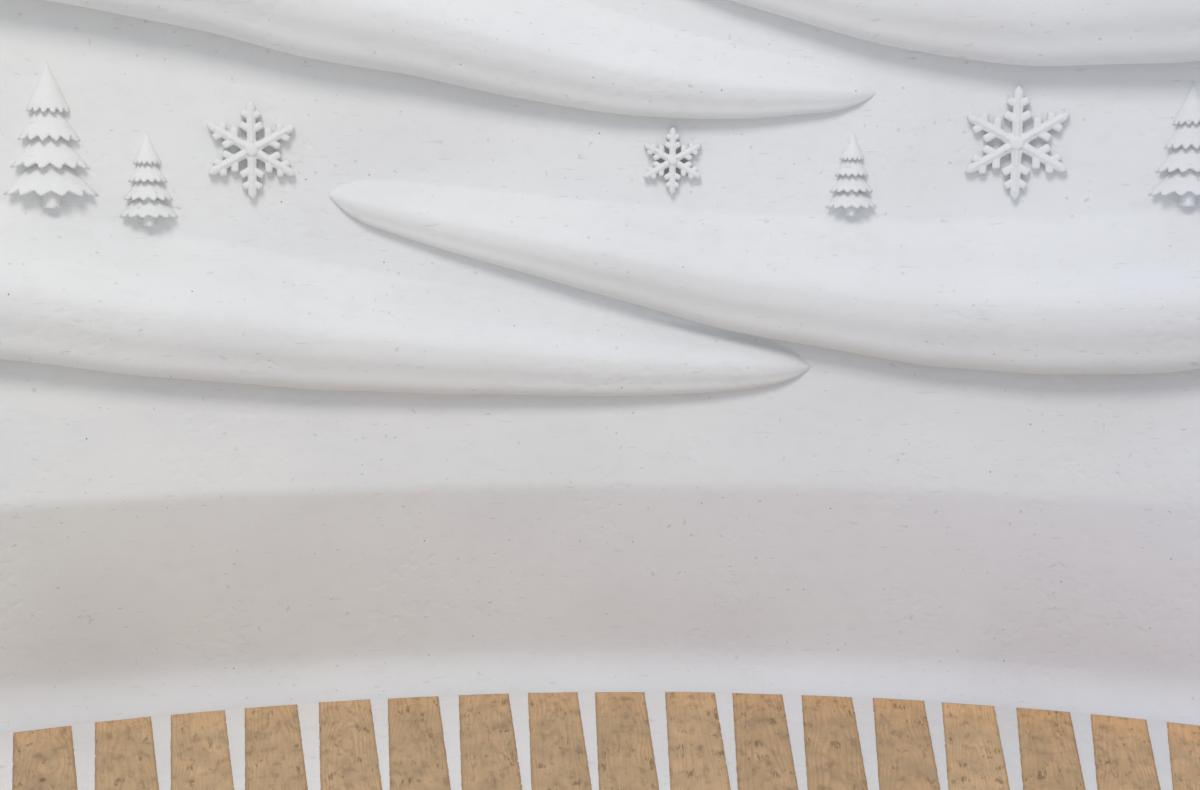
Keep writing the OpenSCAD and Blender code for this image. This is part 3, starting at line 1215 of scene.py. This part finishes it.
@dataclass
class SnowCrystal:
    """A six-armed snow crystal in low relief, with two pairs of side branches on each arm.

    One half of an arm is drawn as points of (share of the width, degrees from the arm's middle line). Its
    ridges and its boss are shares of the width too.
    """

    number: int
    relief: Relief
    place: float
    rise: float
    share: float
    widest: float = 0.3
    thick: float = 0.04
    ridge_room: float = 12 * MM
    edge: float = 3 * MM
    buried: float = 6 * MM
    half_arm: tuple[tuple[float, float], ...] = (
        *((0.085, 30), (0.125, 15.8), (0.193, 10.2), (0.265, 26.2), (0.297, 17.9), (0.252, 7.8)),
        *((0.327, 5.6), (0.374, 14.6), (0.409, 9.9), (0.383, 4.8), (0.461, 3.5)),
    )
    arm: float = 0.5
    ridge_foot: float = 0.022
    ridge_tip: float = 0.01
    ridge_long: float = 0.4
    ridge_at: float = 0.24
    ridge_high: float = 1.1
    boss_foot: float = 0.085
    boss_top: float = 0.05
    boss_high: float = 18 * MM
    voxel: float = 2.4 * MM
    soften_rounds: int = 4
    fill_out: float = 3.5 * MM

    def build(self, carved: Material) -> Object:
        """Builds the crystal flat from one arm, softens it and bends it onto the wall.

        Args:
            carved: Its finish.

        Returns:
            The piece.
        """
        width = self.share * self.widest
        front = self.thick - self.ridge_room
        bm = bmesh.new()
        side = [(r * width, math.radians(turn)) for r, turn in self.half_arm]
        outline = [(0.0, 0.0), *side, (self.arm * width, 0.0), *[(r, -turn) for r, turn in reversed(side)]]
        corners = [bm.verts.new((r * math.sin(t), r * math.cos(t), -self.buried)) for r, t in outline]
        arm = bm.faces.new(corners)
        turn = {"cent": (0, 0, 0), "axis": (0, 0, 1), "angle": math.radians(300), "steps": 5}
        bmesh.ops.spin(bm, geom=[arm, *arm.verts, *arm.edges], dvec=(0, 0, 0), use_duplicate=True, **turn)
        bmesh.ops.remove_doubles(bm, verts=bm.verts, dist=0.05 * MM)
        raised = bmesh.ops.extrude_face_region(bm, geom=bm.faces[:], use_keep_orig=True)["geom"]
        for vert in [v for v in raised if isinstance(v, BMVert)]:
            vert.co.z = front
        rounded(bm, [e for e in bm.edges if self.is_front_rim(e, front)], self.edge)
        self.ridges(bm, width, front)
        bm = melted(bm, self.voxel, self.soften_rounds, self.fill_out)
        lay_on_wall(bm, self.relief.room, self.place, self.relief.height(self.rise))
        name = f"crystal_relief_{self.number}"
        return as_piece(bm, name, [f"snow_crystal_{self.number}"], (carved,), 180)

    def is_front_rim(self, edge: BMEdge, front: float) -> bool:
        """Returns whether an edge is on the outline of the crystal's front, which is so far from the wall."""
        level = all(abs(vert.co.z - front) <= 0.01 * MM for vert in edge.verts)
        return level and any(vert.co.z < 0 for face in edge.link_faces for vert in face.verts)

    def ridges(self, bm: BMesh, width: float, front: float) -> None:
        """Adds a low ridge along each arm and a six-sided boss in the middle.

        Args:
            bm: The crystal, drawn flat.
            width: The crystal's width.
            front: How far its front is from the wall.
        """
        foot, tip, long = (size * width for size in (self.ridge_foot, self.ridge_tip, self.ridge_long))
        for i in range(6):
            across, along = math.sin(math.radians(60 * i)), math.cos(math.radians(60 * i))
            cone = {"segments": 4, "radius1": foot, "radius2": tip, "depth": long}
            for vert in bmesh.ops.create_cone(bm, cap_ends=True, **cone)["verts"]:
                out = vert.co.z + self.ridge_at * width
                x, z = vert.co.x, front + vert.co.y * self.ridge_high
                vert.co = (out * across + x * along, out * along - x * across, z)
        foot, top = self.boss_foot * width, self.boss_top * width
        cone = {"segments": 6, "radius1": foot, "radius2": top, "depth": self.boss_high}
        for vert in bmesh.ops.create_cone(bm, cap_ends=True, **cone)["verts"]:
            vert.co.z += front


@dataclass(frozen=True)
class BoardPlace:
    """Where a board lies, read from its CAD node: its narrow end, its direction and its size."""

    near: Vector
    along: Vector
    across: Vector
    length: float
    width: float
    top: float
    under: float

    @classmethod
    def of(cls, number: int, room: Room) -> "BoardPlace":
        """Reads a board's place.

        Args:
            number: The board's number, from 1 at the bay's left end.
            room: The room.

        Returns:
            The place.
        """
        corners = [v.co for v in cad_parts[f"floor_board_{number}"].data.vertices]
        middle = sum(room.radius_of(c) for c in corners) / len(corners)
        near = [c for c in corners if room.radius_of(c) < middle]
        far = [c for c in corners if room.radius_of(c) > middle]
        start = sum(near, Vector()) / len(near)
        way = sum(far, Vector()) / len(far) - start
        along = way.normalized()
        across = Vector((along.y, -along.x, 0.0))
        width = 2 * max((c - start).dot(across) for c in near)
        return cls(start, along, across, way.length, width, max(c.z for c in near), min(c.z for c in near))


@dataclass
class FloorBoard:
    """A planed board bedded in the floor: eased edges, slightly cupped, its arrises worn."""

    number: int
    place: BoardPlace
    cuts_along: int = 60
    cuts_across: int = 7
    arris: float = 2.2 * MM
    wear: Ripple = Ripple((60.0, 14.0), 0.7 * MM)
    bow: Ripple = Ripple((3.0, 0.0), 0.6 * MM, 5.0)
    cup: float = 0.9 * MM
    proudest: float = 1.2 * MM
    apart: float = 1.37

    def build(self, pine: Material) -> Object:
        """Builds the board from a block, and marks its points with the run of the grain.

        Args:
            pine: Its finish.

        Returns:
            The piece.
        """
        spot = self.place
        thick = spot.top - spot.under
        bm = bmesh.new()
        bmesh.ops.create_cube(bm, size=1.0)
        for axis, cuts in ((1, self.cuts_along), (0, self.cuts_across)):
            runs = [e for e in bm.edges if abs(e.verts[0].co[axis] - e.verts[1].co[axis]) > 0.9]
            bmesh.ops.subdivide_edges(bm, edges=runs, cuts=cuts, use_grid_fill=True)
        bmesh.ops.scale(bm, vec=(spot.width, spot.length, thick), verts=bm.verts)
        rounded(bm, [e for e in bm.edges if e.calc_face_angle(0.0) > 1.0], self.arris)
        grain = bm.verts.layers.float_vector.new("grain")
        own = self.number * self.apart
        turned = -1.0 if self.number % 3 else 1.0
        for vert in bm.verts:
            x, y, z = vert.co
            vert[grain] = (x, y + spot.length / 2, own)
            share = 2 * x / spot.width
            worn = self.wear.at(x, y, own) * abs(share) ** 3
            bow = self.bow.at(y, 0.0, own)
            lift = self.cup * turned * (share**2 - 0.5) / 2
            x += worn if x > 0 else -worn
            vert.co = spot.near + spot.across * x + spot.along * (y + spot.length / 2)
            vert.co.z = (spot.top + spot.under) / 2 + z + min(lift + bow, self.proudest)
        return as_piece(bm, f"board_{self.number}", [f"floor_board_{self.number}"], (pine,), 80)


class Bed(IntEnum):
    """How far into a board's bed a line of the floor's mesh lies."""

    SNOW = 0
    CREST = 1
    LAP = 2
    UNDER = 3
    WALL = 4
    BASE = 5


# How far under a board's top its bed's lines lie
BELOW_TOP = {Bed.LAP: -0.5 * MM, Bed.UNDER: 1 * MM, Bed.WALL: 4 * MM}


@dataclass(frozen=True)
class Row:
    """A row of the floor's sheet: its bed, its distance from the axis, and whether it follows the ends."""

    bed: Bed
    radius: float
    at_ends: bool = False


@dataclass
class SnowFloor:
    """The trodden snow floor, one sheet that dips under the boards and laps a little over their edges."""

    room: Room
    boards: list[BoardPlace]
    play: float = 0.5 * MM
    seat: float = 0.3 * MM
    trod: float = 1.6 * MM
    tread: Ripple = Ripple((9.0, 9.0), 1.0, 4.0)
    heel: Ripple = Ripple((31.0, 31.0), 0.4, 8.0)
    swept: float = 0.05
    crest: float = 1.6 * MM
    crest_trod: float = 0.5
    lapped: float = 1.6 * MM
    mean_lap: float = 0.6
    least_lap: float = 0.05
    most_lap: float = 1.2
    broad_lap: Ripple = Ripple((24.0, 24.0), 0.5)
    fine_lap: Ripple = Ripple((90.0, 90.0), 0.5, 3.0)
    tucked: float = 0.6
    apart: float = 40.0
    end_apart: float = 9.0
    brow: float = 10 * MM
    gap_share: float = 0.6
    crest_share: float = 0.4
    rim: float = 15 * MM
    rim_fall: float = 5 * MM
    rim_step: float = 4 * MM
    wall_rim: float = 20 * MM
    wall_step: float = 5 * MM
    ends_clear: float = 20 * MM
    row_inset: float = 12 * MM
    row_step: float = 10 * MM
    snow_rows: int = 6
    # Each line of a bed, with its distance inside the board's edge
    lines: tuple[tuple[Bed, float], ...] = (
        (Bed.SNOW, -10 * MM),
        (Bed.CREST, -4 * MM),
        (Bed.LAP, 0.0),
        (Bed.UNDER, 1 * MM),
        (Bed.WALL, 2 * MM),
        (Bed.BASE, 3 * MM),
    )

    @property
    def near(self) -> float:
        """Distance of the boards' narrow ends from the room's axis, as the row of ends is set out."""
        return sum(self.room.radius_of(b.near) for b in self.boards) / len(self.boards)

    @property
    def pitch(self) -> float:
        """Angle from one board to the next."""
        return 2 * self.room.half_angle / len(self.boards)

    @property
    def per_board(self) -> int:
        """Columns of the sheet to a board."""
        return 2 * (len(self.lines) + 2)

    def rows(self) -> list[Row]:
        """Sets out the sheet's rows from the room to the wall.

        Returns:
            The rows.
        """
        inner, first, toe = self.room.floor_in, self.near, self.room.toe
        rows = [Row(Bed.SNOW, inner), Row(Bed.SNOW, inner + self.rim_step)]
        for i in range(self.snow_rows + 1):
            rows.append(Row(Bed.SNOW, mix(inner + self.rim, first - self.ends_clear, i / self.snow_rows)))
        rows += [Row(bed, first + offset, True) for bed, offset in self.lines]
        start, end = first + self.row_inset, toe - self.row_inset
        count = round((end - start) / self.row_step)
        rows += [Row(Bed.BASE, mix(start, end, i / count)) for i in range(count + 1)]
        return [*rows, Row(Bed.BASE, toe - self.wall_step), Row(Bed.BASE, toe - self.seat)]

    def lap(self, bed: Bed, x: float, y: float, own: float) -> float:
        """Works out how far a line of the sheet reaches over a board, where the snow laps over its edge.

        Args:
            bed: The line's bed.
            x: Place across the board.
            y: Place along the board.
            own: The number that gives the board its own lap.

        Returns:
            The line's distance inside the board's edge.
        """
        if bed > Bed.UNDER:
            return -self.play
        ragged = self.mean_lap + self.broad_lap.at(x, y, own) + self.fine_lap.at(x, y, own)
        lap = self.lapped * min(max(ragged, self.least_lap), self.most_lap)
        return lap if bed is Bed.LAP else self.tucked * lap

    def level(self, bed: Bed, spot: Vector, board: BoardPlace) -> float:
        """Works out how high the sheet lies.

        Args:
            bed: How far into a bed the point lies.
            spot: The point.
            board: The place of the board there.

        Returns:
            The height of the sheet.
        """
        room = self.room
        radius = room.radius_of(spot)
        clear = ease(room.toe - radius, 0.0, self.swept)
        uneven = self.trod * (self.tread.at(spot.x, spot.y) + self.heel.at(spot.x, spot.y))
        if bed is Bed.SNOW:
            fall = self.rim_fall * (1 - ease(radius, room.floor_in, room.floor_in + self.rim))
            return room.floor_top + uneven * clear - fall
        if bed is Bed.CREST:
            return room.floor_top + (self.crest + self.crest_trod * uneven) * clear
        return board.top - BELOW_TOP[bed] if bed in BELOW_TOP else board.under - self.seat

    def place(self, row: Row, column: int) -> Vector:
        """Finds the point where a row and a column of the sheet cross.

        Args:
            row: The row.
            column: Number of the column.

        Returns:
            The point.
        """
        number = min(column // self.per_board, len(self.boards) - 1)
        step = column - number * self.per_board
        board = self.boards[number]
        centre = -self.room.half_angle + (number + 0.5) * self.pitch
        outward = Vector((math.sin(centre), math.cos(centre), 0.0))
        aside = Vector((outward.y, -outward.x, 0.0))
        axis = Vector((0.0, self.room.axis_y, 0.0))
        middle, end = (board.near - axis).dot(aside), (board.near - axis).dot(outward)
        hand = -1 if step <= self.per_board / 2 else 1
        inward = min(step, self.per_board - step)
        ray = hand * row.radius * math.sin(self.pitch / 2)
        edge = middle + hand * board.width / 2
        if row.bed is Bed.SNOW:
            edge = hand * min(hand * edge, hand * ray - self.play)
        half_gap = hand * (ray - edge)
        own = centre * self.apart
        if inward == 0:
            x, bed = ray, Bed.SNOW
        elif inward == 1:
            brow = edge + hand * min(self.brow, self.gap_share * half_gap)
            x, bed = mix(ray, brow, 0.5), Bed.SNOW
        elif inward == self.per_board / 2:
            x, bed = middle, Bed.BASE
        else:
            bed, offset = self.lines[inward - 2]
            if offset < 0:
                room_left = self.gap_share * half_gap * (1.0 if bed is Bed.SNOW else self.crest_share)
                offset = -min(-offset, room_left)
            if min(row.bed, bed) >= Bed.LAP:
                offset = self.lap(bed, edge, row.radius, own)
            x = edge - hand * offset
        y = math.sqrt(row.radius**2 - ray**2) if inward == 0 else row.radius
        if row.at_ends and inward > 1:
            y += end - self.near
            if min(row.bed, bed) >= Bed.LAP:
                y = end + self.lap(row.bed, x, end, own + self.end_apart)
        if row.radius > self.room.toe - self.wall_rim:
            y = math.sqrt(row.radius**2 - x**2)
        spot = axis + aside * x + outward * y
        spot.z = self.level(Bed(min(row.bed, bed)), spot, board)
        return spot

    def build(self, trodden: Material, sawn: Material) -> Object:
        """Builds the floor: a sheet laid over the beds, its rim drawn down to the ground and closed.

        Args:
            trodden: Finish of the floor.
            sawn: Finish of its sides and the ground face.

        Returns:
            The piece.
        """
        rows = self.rows()
        columns = self.per_board * len(self.boards)
        bm = bmesh.new()
        bmesh.ops.create_grid(bm, x_segments=columns, y_segments=len(rows) - 1, size=1.0)
        for vert in bm.verts:
            column = round((vert.co.x + 1) / 2 * columns)
            row = round((vert.co.y + 1) / 2 * (len(rows) - 1))
            vert.co = self.place(rows[row], column)
        top = len(bm.faces)
        rim = [e for e in bm.edges if e.is_boundary]
        for vert in [v for v in bmesh.ops.extrude_edge_only(bm, edges=rim)["geom"] if isinstance(v, BMVert)]:
            vert.co.z = 0.0
        close_holes(bm)
        bm.faces.ensure_lookup_table()
        for face in bm.faces[top:]:
            face.material_index = 1
        bmesh.ops.remove_doubles(bm, verts=bm.verts, dist=0.001 * MM)
        nodes = [f"floor_segment_{i}" for i in range(1, SEGMENTS + 1)]
        return as_piece(bm, "snow_floor", nodes, (trodden, sawn))


@dataclass
class Carving:
    """The whole relief: four snowdrifts, the firs that stand on them and the crystals between.

    A drift is the stations of its crest line, a fir is (place, its drift, share of the tallest), and a
    crystal is (place, height, share of the widest).
    """

    relief: Relief
    drifts: tuple[tuple[Triple, ...], ...] = (
        (
            *((-1, 0.21, 0.95), (-0.7, 0.15, 0.92), (-0.35, 0.095, 0.75)),
            *((0, 0.062, 0.5), (0.16, 0.057, 0.3), (0.22, 0.056, 0.08)),
        ),
        (
            *((-0.46, 0.34, 0.08), (-0.4, 0.322, 0.3), (-0.15, 0.26, 0.55), (0.15, 0.195, 0.8)),
            *((0.5, 0.16, 0.98), (0.8, 0.185, 1), (1, 0.24, 0.98)),
        ),
        (
            *((-1, 0.765, 1.05), (-0.7, 0.72, 1.05), (-0.35, 0.625, 0.85)),
            *((0, 0.535, 0.58), (0.23, 0.51, 0.3), (0.3, 0.507, 0.08)),
        ),
        (
            *((-0.2, 0.815, 0.08), (-0.13, 0.79, 0.3), (0.1, 0.72, 0.58)),
            *((0.4, 0.655, 0.85), (0.7, 0.66, 1.05), (1, 0.735, 1.05)),
        ),
    )
    firs: tuple[tuple[float, int, float], ...] = (
        *((-0.815, 0, 1), (-0.695, 0, 0.66), (0.27, 1, 0.62)),
        *((0.71, 1, 0.86), (0.81, 1, 0.6), (0.84, 3, 0.7)),
    )
    crystals: tuple[Triple, ...] = (
        *((-0.56, 0.41, 0.86), (0.02, 0.4, 0.6), (0.49, 0.425, 1), (-0.45, 0.91, 0.86), (0.52, 0.92, 0.8)),
    )

    def build(self, carved: Material) -> list[Object]:
        """Builds every carved piece.

        Args:
            carved: Their finish.

        Returns:
            The pieces.
        """
        drifts = [SnowDrift(i, self.relief, CrestLine(line)) for i, line in enumerate(self.drifts, 1)]
        shapes = [*drifts]
        for i, (place, drift, share) in enumerate(self.firs, 1):
            shapes.append(CarvedFir(i, self.relief, place, drifts[drift], share))
        for i, (place, rise, share) in enumerate(self.crystals, 1):
            shapes.append(SnowCrystal(i, self.relief, place, rise, share))
        return [shape.build(carved) for shape in shapes]


@dataclass(frozen=True)
class Lamp:
    """A soft square lamp that points at a spot."""

    name: str
    watts: float
    size: float
    place: Triple
    target: Triple
    colour: str = "FFFFFF"

    def hang(self) -> None:
        """Hangs the lamp in the scene."""
        data = bpy.data.lights.new(self.name, "AREA")
        data.energy = self.watts
        data.size = self.size
        data.color = linear(self.colour)[:3]
        lamp = bpy.data.objects.new(self.name, data)
        lamp.location = self.place
        lamp.rotation_euler = (Vector(self.target) - Vector(self.place)).to_track_quat("-Z", "Y").to_euler()
        bpy.context.scene.collection.objects.link(lamp)


@dataclass
class Studio:
    """The pale floor, the soft lamps and the camera where the photograph was taken.

    The camera's place is given from the room's axis: ahead along the view, aside to the right, and up
    from the floor.
    """

    room: Room
    lens: float = 41.4
    sensor: float = 36.0
    ahead: float = 0.314
    aside: float = -0.135
    up: float = 1.268
    turn: float = math.radians(-0.35)
    tilt: float = math.radians(-5.93)
    roll: float = math.radians(0.16)
    sky: str = "EDF3FF"
    sky_strength: float = 0.67
    backdrop: str = "F5F6F8"
    backdrop_strength: float = 0.9
    floor: str = "ECEBE9"
    floor_cloud: str = "E7E6E5"
    floor_clouds: float = 0.6
    floor_detail: float = 2.0
    floor_roughness: float = 0.8
    floor_reach: float = 400.0
    floor_under: float = 0.5 * MM

    def set_camera(self) -> None:
        """Sets the camera in the middle of the room, looking a little down at the wall's foot."""
        data = bpy.data.cameras.new("photo_view")
        data.lens = self.lens
        data.sensor_width = self.sensor
        camera = bpy.data.objects.new("photo_view", data)
        forward = Vector((math.sin(self.turn), math.cos(self.turn), 0.0))
        right = Vector((forward.y, -forward.x, 0.0))
        axis = Vector((0.0, self.room.axis_y, self.room.floor_top))
        camera.location = axis + forward * self.ahead + right * self.aside + Vector((0.0, 0.0, self.up))
        view = forward * math.cos(self.tilt) + Vector((0.0, 0.0, math.sin(self.tilt)))
        turned = view.to_track_quat("-Z", "Y") @ Quaternion((0.0, 0.0, 1.0), self.roll)
        camera.rotation_euler = turned.to_euler()
        bpy.context.scene.collection.objects.link(camera)
        bpy.context.scene.camera = camera

    def light(self) -> None:
        """Lights the room softly from above the viewer, with an even sky all round."""
        Lamp("key", 102, 1.5, (-0.7, self.room.axis_y, 4.6), (0.0, 0.25, 0.9), "FFFAF4").hang()
        Lamp("back", 60, 4.0, (3.0, 6.0, 5.0), (0.0, 0.5, 1.2)).hang()
        world = bpy.data.worlds.new("sky")
        bpy.context.scene.world = world
        world.use_nodes = True
        world.node_tree.nodes.clear()
        add = partial(add_node, world.node_tree)
        path = add("LightPath").outputs
        glossy = add("Math", (path["Is Camera Ray"], path["Is Glossy Ray"]))
        seen = add("Math", (glossy, path["Is Transmission Ray"]), use_clamp=True)
        tint = add("Mix", {0: seen, 6: self.sky, 7: self.backdrop}, data_type="RGBA")
        level = add("MapRange", (seen, 0.0, 1.0, self.sky_strength, self.backdrop_strength))
        add("OutputWorld", (add("Background", (tint, level)),))

    def lay_floor(self) -> None:
        """Lays a plain pale studio floor just under the ground."""
        material, tree = begin_material("pale_studio_floor")
        add = partial(add_node, tree)
        place = add("TexCoord").outputs["Object"]
        cloud = add("TexNoise", {"Vector": place, "Scale": self.floor_clouds, "Detail": self.floor_detail})
        colour = add("Mix", {0: cloud, 6: self.floor, 7: self.floor_cloud}, data_type="RGBA")
        surface = {"Base Color": colour, "Roughness": self.floor_roughness}
        add("OutputMaterial", (add("BsdfPrincipled", surface),))
        bm = bmesh.new()
        bmesh.ops.create_grid(bm, x_segments=1, y_segments=1, size=self.floor_reach)
        bmesh.ops.translate(bm, vec=(0, 0, -self.floor_under), verts=bm.verts)
        placed(bm, "studio_floor", (material,))

    def build(self) -> None:
        """Builds the studio."""
        bpy.context.scene.view_settings.view_transform = "Standard"
        self.set_camera()
        self.light()
        self.lay_floor()


def main() -> None:
    """Builds the studio, then the wall, its carving, the boards and the floor between them."""
    logging.basicConfig(level=logging.INFO, format="%(message)s")
    room = Room.measured()
    Studio(room).build()
    # A float leaves long level strokes. Under its lip the wall is darkened and warmed, lighter at the right:
    # partly dirt and wear, partly painted shade and painted warm bounce light.
    foot = FootShadeAndDirt("F1EEEB", "FAF7FA", room.floor_top + room.lip, room.floor_top)
    smoothed = SnowFinish("hand_smoothed_snow", foot=foot).make()
    carved = SnowFinish("carved_snow", speck_share=0.05).make()
    # A saw opens coarse grains and the level strata in which the snow was blown on
    grey = ("E4E4E4", "E4E4E4", "D6D8DA")
    sawn = SnowFinish("sawn_snow", *grey, stroke_mm=0.1, grain_mm=0.9, strata_mm=4.0).make()
    # Snow left as it was blown is coarse and dented, and has no strokes
    cold = ("E6E7E8", "E6E7E8", "D9DBDE")
    blown = SnowFinish("blown_snow", *cold, stroke_mm=0.0, grain_mm=1.1, dent_mm=2.5).make()
    # A trodden floor is dented and has dirt on it. It is painted warmer at the left and cooler at the right:
    # painted light.
    warm = ("EFEBE6", "E5E5E7", "DAD8D5")
    dented = {"stroke_mm": 0.0, "grain_mm": 0.5, "dent_mm": 1.4}
    trodden = SnowFinish("trodden_snow", *warm, speck_share=0.2, **dented).make()
    pieces = [SnowWall(room).build(smoothed, sawn, blown), *Carving(Relief(room)).build(carved)]
    pine = PineFinish().make()
    places = [BoardPlace.of(i, room) for i in range(1, BOARDS + 1)]
    pieces += [FloorBoard(i, place).build(pine) for i, place in enumerate(places, 1)]
    pieces.append(SnowFloor(room, places).build(trodden, sawn))
    for piece in pieces:
        log.info("%s: %d faces", piece.name, len(piece.data.polygons))


if __name__ == "__main__":
    main()
